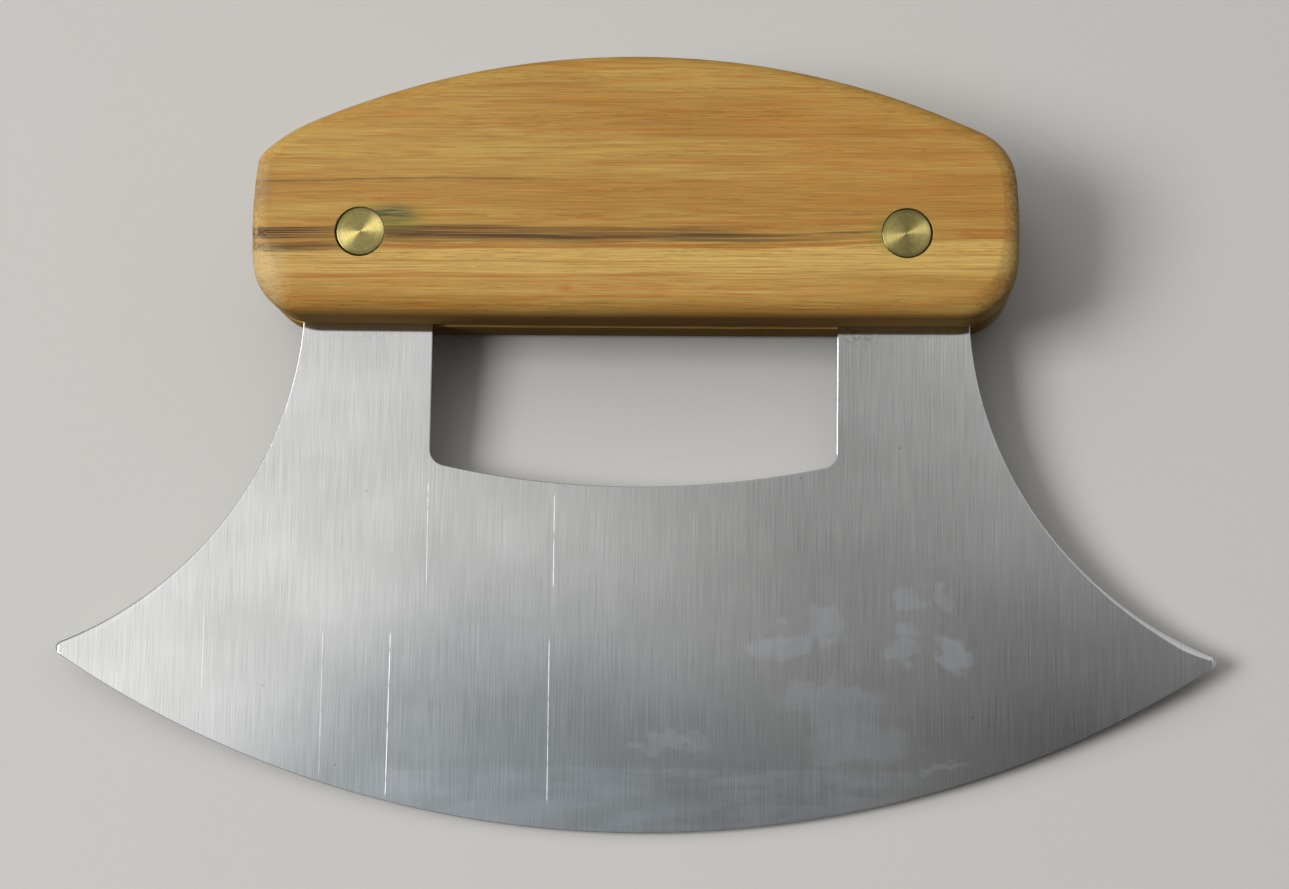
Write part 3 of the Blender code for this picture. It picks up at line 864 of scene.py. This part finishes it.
def ground_tone(tree, place, ring):
    zones = grains(tree, place, ZONE_SIZE, detail=2.0, shift=5.0)
    zones = add(tree, "MapRange", zones, 0.38, 0.62, **SOFT)
    tone = add(tree, "Mix", zones, linear(GOLDEN), linear(TAN), **COLOUR)
    flecks = grains(tree, place, FLECK_SIZE, detail=4.0, roughness=0.65, shift=6.0)
    flecks = where_all(tree, add(tree, "MapRange", flecks, 0.44, 0.66, **SOFT), 0.55)
    tone = add(tree, "Mix", flecks, tone, linear(AMBER), **COLOUR)
    height, half_width, softness = PALE_STRIP
    strip = where_all(tree, band(tree, ring, ring_at(height), half_width, softness), 0.75)
    return add(tree, "Mix", strip, tone, linear(PALE), **COLOUR)


# %% [markdown]
# Each ring is a year. Its early wood fades slowly into orange-brown late wood, which ends at a
# sharp line. The count of rings, without its whole part, says how far through the year the wood
# grew. Years differ in width, and a line of late wood comes and goes along its length. Fine hairs
# and rust-coloured threads lie along the fibres over all this.

# %% Count the years
LATE_WOOD = "#925E28"
RUST = "#A45E1C"
RING_SPACING = 1.7                      # mm
UNEVEN_SCALE, UNEVEN = 0.22, 3.0        # how soon the width of the years changes, and how much
COME_AND_GO_SIZE = (22.0, 1.3, 2.0)
THREAD_SIZE = (12.0, 0.15, 0.30)


def season(tree, ring):
    """How far through its year the wood grew, from 0 to 1."""
    uneven = add(tree, "TexNoise", noise_dimensions="1D", W=ring, Scale=UNEVEN_SCALE, Detail=2.0)
    uneven = add(tree, "Math", uneven, UNEVEN, operation="MULTIPLY")
    count = add(tree, "Math", ring, 1 / RING_SPACING, uneven, operation="MULTIPLY_ADD")
    return add(tree, "Math", count, operation="FRACT")


def grained(tree, place, tone, year, comes_and_goes, fibre, hairs):
    strong = add(tree, "MapRange", comes_and_goes, 0.36, 0.62, 0.15, 1.0, **SOFT)
    late = where_all(tree, add(tree, "MapRange", year, 0.70, 0.97, **SOFT),
                     add(tree, "MapRange", year, 1.0, 0.97), strong, 0.40)
    tone = add(tree, "Mix", late, tone, linear(LATE_WOOD), **COLOUR)
    grain = where_all(tree, add(tree, "MapRange", fibre, *NOISE_RANGE, 0.94, 1.05),
                      add(tree, "MapRange", hairs, *NOISE_ENDS, 0.78, 1.19))
    tone = add(tree, "Mix", 1.0, tone, grain, **TINT)
    threads = grains(tree, place, THREAD_SIZE, detail=2.0, shift=17.0)
    threads = where_all(tree, add(tree, "MapRange", threads, 0.52, 0.66, **SOFT), strong, 0.55)
    return add(tree, "Mix", threads, tone, linear(RUST), **COLOUR)


print(f"About {(ring_at(HANDLE_HEIGHT) - ring_at(0)) / RING_SPACING:.0f} years across the face")

# %% [markdown]
# A purple-brown mineral streak runs through both rivets, and a few rust-brown lines lie above and
# below it. They keep to the rings, so a band of distances from the pith draws each one, broken up
# along the fibres.

# %% Draw the streaks
MINERAL = "#4A331F"
STREAKS = (                             # height on the face, half width, from x, to x, strength, colour
    (10.95, 0.70, -60.0, -40.0, 1.00, MINERAL), (9.00, 0.45, -60.0, -38.0, 0.85, MINERAL),
    (11.20, 0.45, -36.0, -16.0, 0.85, MINERAL), (11.20, 0.45, -16.0, 12.0, 0.60, MINERAL),
    (10.45, 0.14, -32.0, 14.0, 0.95, MINERAL),
    (10.45, 0.06, 8.0, 34.0, 0.80, MINERAL), (10.00, 0.30, -34.0, 18.0, 0.50, MINERAL),
    (9.80, 0.10, 6.0, 30.0, 0.45, MINERAL), (9.05, 0.16, -34.0, 38.0, 0.70, RUST),
    (11.9, 0.28, 10.0, 34.0, 0.45, RUST), (9.9, 0.70, 42.0, 60.0, 0.55, RUST),
    (5.00, 0.12, -46.0, 6.0, 0.75, RUST), (3.30, 0.17, -10.0, 20.0, 0.70, RUST),
    (2.20, 0.17, -44.0, 30.0, 0.40, RUST), (18.30, 0.08, -50.0, -14.0, 0.60, MINERAL),
)
STREAK_SOFTNESS = 0.22                  # mm
STREAK_BREAK_SIZE = (16.0, 0.12, 0.3)


def streaked(tree, place, tone, x, ring, comes_and_goes):
    gaps = grains(tree, place, STREAK_BREAK_SIZE, detail=3.0, shift=13.0)
    unbroken = where_all(tree, add(tree, "MapRange", comes_and_goes, 0.15, 0.42, **SOFT),
                         add(tree, "MapRange", gaps, 0.38, 0.54, 0.40, 1.0, **SOFT))
    for height, half_width, start, end, strength, colour in STREAKS:
        line = band(tree, ring, ring_at(height), half_width, STREAK_SOFTNESS)
        streak = where_all(tree, line, unbroken, strength,
                           add(tree, "MapRange", x, start - 5, start + 3, **SOFT),
                           add(tree, "MapRange", x, end + 8, end - 6, **SOFT))
        tone = add(tree, "Mix", streak, tone, linear(colour), **COLOUR)
    return tone


print(len(STREAKS), "streaks")

# %% [markdown]
# The ends of the block show cut fibres, which are fuzzy, pale and pitted. Hands have dulled the
# underside, where the fingers wrap round, and its colour is darkened there with painted shade. Both
# are found by the way that the surface faces. Stains are patches that soak in along the fibres.

# %% Weather the wood and paint shade on its underside
PORE = "#7A5429"
FUZZ = "#D0B88A"
# painted shade: the colour that the underside is darkened towards, where it faces down
UNDERSIDE_PAINTED_SHADE = "#4A3A24"
UNDERSIDE_SHADE_STRENGTH = 0.40                           # the strength of the painted shade on the underside
FLUFF_SIZE = (1.6, 0.5, 0.5)
PIT_SIZE = (0.5, 0.3, 0.3)
SOAK_SIZE = (5.0, 0.3, 0.5)


# Painted shade: the colour is darker where the surface faces down.
def shade_underside(tree, tone, underside, hairs):
    painted_shade = where_all(tree, underside, add(tree, "MapRange", hairs, *NOISE_RANGE, 0.5, 1.0), UNDERSIDE_SHADE_STRENGTH)
    return add(tree, "Mix", painted_shade, tone, linear(UNDERSIDE_PAINTED_SHADE), **COLOUR)


def with_end_grain(tree, place, tone, endways):
    """The colour with its fuzzy ends, and where the ends are pitted."""
    end_grain = add(tree, "MapRange", add(tree, "Math", endways, operation="ABSOLUTE"), 0.15, 0.75, **SOFT)
    fluff = grains(tree, place, FLUFF_SIZE, detail=3.0)
    fluff = where_all(tree, add(tree, "MapRange", fluff, *NOISE_RANGE, **SOFT), end_grain, 0.60)
    tone = add(tree, "Mix", fluff, tone, linear(FUZZ), **COLOUR)
    pitted = grains(tree, place, PIT_SIZE, detail=3.0)
    pits = where_all(tree, end_grain, add(tree, "MapRange", pitted, 0.60, 0.74, **SOFT))
    return add(tree, "Mix", where_all(tree, pits, 0.50), tone, linear(PORE), **COLOUR), pits


def stained(tree, place, tone, stains):
    soaked = add(tree, "MapRange", grains(tree, place, SOAK_SIZE, detail=3.0), 0.36, 0.60, 0.20, 1.0)
    for x, y, half_width, half_height, strength, stain in stains:
        spot = patch(tree, place, x, y, half_width, half_height, 0.85)
        tone = add(tree, "Mix", where_all(tree, spot, soaked, strength), tone, linear(stain), **COLOUR)
    return tone


# %% [markdown]
# Early wood is full of short open pores. They darken the colour, roughen it and dent the surface.
# Oil that has dried and worn leaves the wood a dull satin: its roughness is high, and its index of
# refraction is a little under the 1.5 of a fresh film.

# %% Make the wood
FIBRE_SIZE = (13.0, 0.30, 0.30)
HAIR_SIZE = (8.0, 0.15, 0.15)
PORE_SIZE = (2.2, 0.15, 0.15)           # mm; about the size of real pores
PORE_COVER = 0.28                       # how far a pore darkens the wood
WOOD_ROUGHNESS = (0.58, 0.72)
PORE_ROUGHNESS = 0.2                    # added
WORN_ROUGHNESS = 0.35                   # added on the underside
RELIEF = 0.03 * MM
WORN_OIL_IOR = 1.42


def oiled_hardwood(stains):
    material, tree = new_tree("oiled_hardwood")
    place = flat_coordinates(tree)
    x = add(tree, "SeparateXYZ", place).outputs["X"]
    facing = add(tree, "SeparateXYZ", add(tree, "TexCoord").outputs["Normal"]).outputs
    underside = add(tree, "MapRange", facing["Y"], -0.80, -0.98, **SOFT)
    ring = ring_distance(tree, place, x)
    year = season(tree, ring)
    comes_and_goes = grains(tree, place, COME_AND_GO_SIZE, detail=3.0, shift=11.0)
    fibre = grains(tree, place, FIBRE_SIZE, detail=3.0, roughness=0.65)
    hairs = grains(tree, place, HAIR_SIZE, detail=2.0, roughness=0.6, shift=8.0)

    tone = ground_tone(tree, place, ring)
    tone = grained(tree, place, tone, year, comes_and_goes, fibre, hairs)
    tone = streaked(tree, place, tone, x, ring, comes_and_goes)
    pores = grains(tree, place, PORE_SIZE, detail=1.0, shift=2.0)
    early = add(tree, "MapRange", year, 0.40, 0.10, 0.20, 1.0, **SOFT)
    open_pores = where_all(tree, add(tree, "MapRange", pores, 0.56, 0.66, **SOFT), early)
    tone = add(tree, "Mix", where_all(tree, open_pores, PORE_COVER), tone, linear(PORE), **COLOUR)
    # painted shade on the underside
    tone = shade_underside(tree, tone, underside, hairs)
    tone, pits = with_end_grain(tree, place, tone, facing["X"])
    tone = stained(tree, place, tone, stains)

    rough = add(tree, "MapRange", fibre, 0.0, 1.0, *WOOD_ROUGHNESS)
    rough = add(tree, "Math", open_pores, PORE_ROUGHNESS, rough, operation="MULTIPLY_ADD")
    rough = add(tree, "Math", underside, WORN_ROUGHNESS, rough, operation="MULTIPLY_ADD")
    height = add(tree, "Math", open_pores, -1.0, fibre, operation="MULTIPLY_ADD")
    height = add(tree, "Math", pits, -2.0, height, operation="MULTIPLY_ADD")
    relief = add(tree, "Bump", Strength=0.6, Distance=RELIEF, Height=height)
    shader = connect(tree, Base_Color=tone, Roughness=rough, Normal=relief)
    shader.inputs["IOR"].default_value = WORN_OIL_IOR
    shader.inputs["Specular IOR Level"].default_value = 0.35
    return material

# %% [markdown]
# ## The handle
# One block is sawn to outline and its long edges are rounded over. That was done by hand on a
# sander: the round-over meets the faces at a faint line and is fuller at some corners.
#
# The outline again comes from the CAD piece, and its loops are drawn in by the sander's own uneven
# amount.

# %% Round over the edges
ROUND_START = math.radians(13)          # the round-over's angle where it meets the face
ROUND_STEPS = 9
ROUND_EASE = 5                          # points each way over which its width evens out
HAND_WOBBLE = 0.07                      # share of the round-over that the hand varies by
WOBBLE_SIZE = 9 * MM
FULLER_CORNERS = (                      # x, y, reach, and extra round-over there, in mm
    (-46.0, 3.5, 7.5, 1.7), (47.0, 3.0, 7.0, 0.9), (44.0, 24.0, 9.0, 0.35),
)
WALL_TOP_Z = wall_top("handle")
ROUND_OVER = HANDLE_FACE - WALL_TOP_Z


def round_over_at(point):
    """The width of the hand-sanded round-over at this point of the outline."""
    wobble = noise.noise(point.to_3d() / WOBBLE_SIZE)
    size = ROUND_OVER * (1 - HAND_WOBBLE + HAND_WOBBLE * wobble)
    for x, y, reach, extra in FULLER_CORNERS:
        away = (point - Vector((x, y)) * MM).length / (reach * MM)
        size += extra * MM * math.exp(-away * away)
    return size


loop = refined(outline_at("handle", WALL_TOP_Z), LOOP_PARTS)
sizes = eased([round_over_at(point) for point in loop], ROUND_EASE)
handle = rounded_solid("handle_dressed", loop, HANDLE_FACE, sizes, sizes, ROUND_START, ROUND_STEPS)
print(f"Handle {2 * HANDLE_FACE / MM:.2f} mm thick, with a round-over of {ROUND_OVER / MM:.1f} mm")

# %% [markdown]
# A saw kerf is cut up from the bottom for the blade, and two stepped holes are bored for the
# rivets, each a hair off its rivet. Both are cut from the solid block, as in the shop.

# %% Cut the kerf and the holes
KERF_GAP = 0.07 * MM                    # each side of the blade; the saw cut is a close fit
KERF_END, KERF_BELOW = 60 * MM, -5 * MM     # past the handle's ends and its bottom
HOLE_GAP = 0.13 * MM                    # round each rivet head
HOLE_SHIFT = 0.11 * MM
HOLE_SHIFTS = {"left": Vector((-0.9, -0.45)) * HOLE_SHIFT, "right": Vector((1.0, 0.1)) * HOLE_SHIFT}
BROKEN_EDGE = 0.06 * MM                 # at each hole's mouth
HOLE_STEPS = 96


def rivet_sizes(node):
    """Centre, rim radius, face height, seat height and shank radius of a rivet half."""
    points = flat_points(node)
    low = [min(point[axis] for point in points) for axis in range(3)]
    high = [max(point[axis] for point in points) for axis in range(3)]
    centre = Vector(((low[0] + high[0]) / 2, (low[1] + high[1]) / 2))
    rim = (high[0] - low[0]) / 2
    face = high[2] if high[2] > -low[2] else low[2]
    seat = min((point.z for point in points if (point.xy - centre).length > rim - SAME_LEVEL), key=abs)
    shank = min((point.xy - centre).length for point in points if abs(point.z - seat) < SAME_LEVEL)
    return centre, rim, face, seat, shank


def rivet_hole(side, shift):
    """A counterbore from each face and a through hole, with lightly broken mouths."""
    centre, rim, face, seat, shank = rivet_sizes(f"rivet_{side}_socket")
    head, narrow, seat_floor = rim + HOLE_GAP, shank + HOLE_GAP, seat - HOLE_GAP
    over = HANDLE_FACE + MM
    mouth = head + BROKEN_EDGE
    upper = [(0, over), (mouth + MM, over), (mouth, HANDLE_FACE), (head, HANDLE_FACE - BROKEN_EDGE),
             (head, seat_floor), (narrow, seat_floor)]
    lower = [(radius, -height) for radius, height in reversed(upper)]
    hole = new_object(f"hole_{side}", spun(f"hole_{side}", upper + lower, HOLE_STEPS))
    hole.location = (centre + shift).to_3d()
    return hole


def kerf_cutter():
    top = max(point.y for point in flat_points("handle") if abs(point.z) < 2 * BLADE_FACE)
    half = BLADE_FACE + KERF_GAP
    shape = bmesh.new()
    bmesh.ops.create_cube(shape, size=2)
    for corner in shape.verts:
        corner.co = (KERF_END * corner.co.x, top if corner.co.y > 0 else KERF_BELOW, half * corner.co.z)
    return new_object("kerf", mesh_of("kerf", shape))


cut_away(handle, [kerf_cutter()] + [rivet_hole(side, shift) for side, shift in HOLE_SHIFTS.items()])
print(f"Kerf {2 * (BLADE_FACE + KERF_GAP) / MM:.2f} mm wide")

# %% [markdown]
# Brass and damp wood leave a green stain, which has spread along the grain beside the left rivet.
# The other patches are a bruise at the left end, a pale and an amber shade over parts of the face,
# rubbed fibres at the lower left corner and a small red blush.

# %% Finish the handle
MOSS = "#7C7C34"
VERDIGRIS = "#37483B"
BRUISE = "#857257"
BLUSH = "#B4552E"
left_rivet, right_rivet = [rivet_sizes(f"rivet_{side}_socket")[0] / MM for side in HOLE_SHIFTS]
STAINS = (                              # x, y, half width, half height, strength, colour
    (left_rivet.x + 4.2, left_rivet.y + 1.9, 7.0, 2.6, 0.9, MOSS),
    (left_rivet.x + 4.0, left_rivet.y + 2.4, 4.8, 1.7, 1.0, VERDIGRIS),
    (left_rivet.x, left_rivet.y, 4.4, 4.2, 0.6, MOSS),
    (right_rivet.x - 1.8, right_rivet.y - 0.2, 4.2, 3.6, 0.8, MOSS),
    (right_rivet.x, right_rivet.y, 4.2, 4.0, 0.5, MOSS),
    (-49.0, 16.5, 2.6, 5.0, 0.6, BRUISE), (-35.0, 2.8, 11.0, 1.5, 0.35, AMBER),
    (0.0, 3.2, 60.0, 2.6, 0.45, PALE), (-30.0, 22.5, 34.0, 11.0, 0.30, PALE),
    (30.0, 22.5, 30.0, 11.0, 0.45, AMBER),
    (-48.0, 5.0, 4.0, 6.0, 0.6, FUZZ), (-8.6, 3.3, 1.4, 0.7, 0.6, BLUSH),
)

handle.data.shade_smooth()
handle.data.set_sharp_from_angle(angle=CRISP)
handle.data.transform(KNIFE)
dress(handle, "handle", oiled_hardwood(STAINS))

# %% [markdown]
# ## Turned brass
# Each rivet head was faced off on a lathe, which leaves fine rings, so its highlight is a bow tie
# through the centre. Handling has dulled the brass to olive.
#
# The rings are bump and an anisotropic shine that turns with the head. A radial tangent is read
# about the object's own Z axis, so each rivet keeps its own centre and axis.

# %% Make the brass
BRASS = "#AC9D62"
TARNISH = "#908652"
TURNING_SPACING = 0.16                  # mm; the tool's real feed, about 0.08 mm, is too fine to show
TURNING_DEPTH = 0.0015 * MM
MOTTLE_SIZE = (0.6, 0.6, 0.6)
GREEN_RIM = (2.5, 3.2)                  # mm from the centre, where verdigris starts and is full
BRASS_ROUGHNESS = (0.28, 0.42)


def turned_brass():
    material, tree = new_tree("turned_brass")
    place = add(tree, "TexCoord").outputs["Object"]
    flat = add(tree, "VectorMath", place, (1 / MM, 1 / MM, 0), operation="MULTIPLY")
    radius = add(tree, "VectorMath", flat, operation="LENGTH")
    turning = add(tree, "TexNoise", noise_dimensions="1D", W=radius, Scale=1 / TURNING_SPACING, Detail=2.0)
    mottle = grains(tree, flat, MOTTLE_SIZE, detail=4.0, roughness=0.65)
    dulled = where_all(tree, add(tree, "MapRange", mottle, 0.40, 0.65, **SOFT), 0.5)
    tone = add(tree, "Mix", dulled, linear(BRASS), linear(TARNISH), **COLOUR)
    rim = where_all(tree, add(tree, "MapRange", radius, *GREEN_RIM, **SOFT), 0.40)
    tone = add(tree, "Mix", rim, tone, linear(VERDIGRIS), **COLOUR)
    tone = add(tree, "Mix", 1.0, tone, add(tree, "MapRange", turning, 0.2, 0.8, 0.82, 1.14), **TINT)
    rough = add(tree, "MapRange", mottle, 0.0, 1.0, *BRASS_ROUGHNESS)
    relief = add(tree, "Bump", Strength=1.0, Distance=TURNING_DEPTH, Height=turning)
    around = add(tree, "Tangent", direction_type="RADIAL", axis="Z")
    shader = connect(tree, Base_Color=tone, Roughness=rough, Normal=relief, Tangent=around)
    shader.inputs["Metallic"].default_value = 1.0
    shader.inputs["Anisotropic"].default_value = 0.9
    shader.inputs["Anisotropic Rotation"].default_value = 0.25
    return material

# %% [markdown]
# ## The rivets
# Cutler's rivets come in two halves: a head on a tube from one side and a head on a pin from the
# other, pressed together. Each half is one profile turned about its axis. Its sizes are read from
# its CAD node, and only the rim is made finer here.

# %% Turn the rivets
RIM_ROUND = 0.12 * MM
RIM_STEPS = 4
TURNED_STEPS = 128


def rivet_profile(node):
    """The half's centre, and its profile from the middle of its face to the middle of its far end."""
    centre, rim, face, seat, shank = rivet_sizes(node)
    out = math.copysign(1, face)
    points = [(0.0, face), (rim - RIM_ROUND - HOLD, face)]
    for step in range(RIM_STEPS + 1):
        turn = math.pi / 2 * step / RIM_STEPS
        points.append((rim - RIM_ROUND * (1 - math.sin(turn)), face - out * RIM_ROUND * (1 - math.cos(turn))))
    points += [(rim, seat), (shank, seat)]
    cad = [((point.xy - centre).length, point.z) for point in flat_points(node)]
    end = min((height for radius, height in cad), key=lambda height: height * out)
    tip = min(radius for radius, height in cad if abs(height - end) < SAME_LEVEL and radius > SAME_LEVEL)
    if "socket" in node:
        bore_end = max(height for radius, height in cad if abs(radius - tip) < SAME_LEVEL)
        points += [(shank, end), (tip, end), (tip, bore_end), (0.0, bore_end)]
    else:
        points += [(shank, end + out * (shank - tip)), (tip, end), (0.0, end)]
    return centre, points


brass = turned_brass()
for side in HOLE_SHIFTS:
    for half in ("socket", "pin"):
        node = f"rivet_{side}_{half}"
        centre, profile = rivet_profile(node)
        rivet = new_object(f"{node}_dressed", spun(f"{node}_dressed", profile, TURNED_STEPS))
        rivet.data.set_sharp_from_angle(angle=CRISP)
        rivet.matrix_world = KNIFE @ Matrix.Translation(centre.to_3d())
        dress(rivet, node, brass)

# %% [markdown]
# ## Sizes
# The dressed knife should fill the same box as the CAD model, so both boxes are printed.

# %% Print the sizes and finish
DRESSED_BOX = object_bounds()
for name, (low, high) in (("CAD", CAD_BOX), ("Dressed", DRESSED_BOX)):
    print(name, "box in mm:", " x ".join(f"{(b - a) / MM:.2f}" for a, b in zip(low, high)))
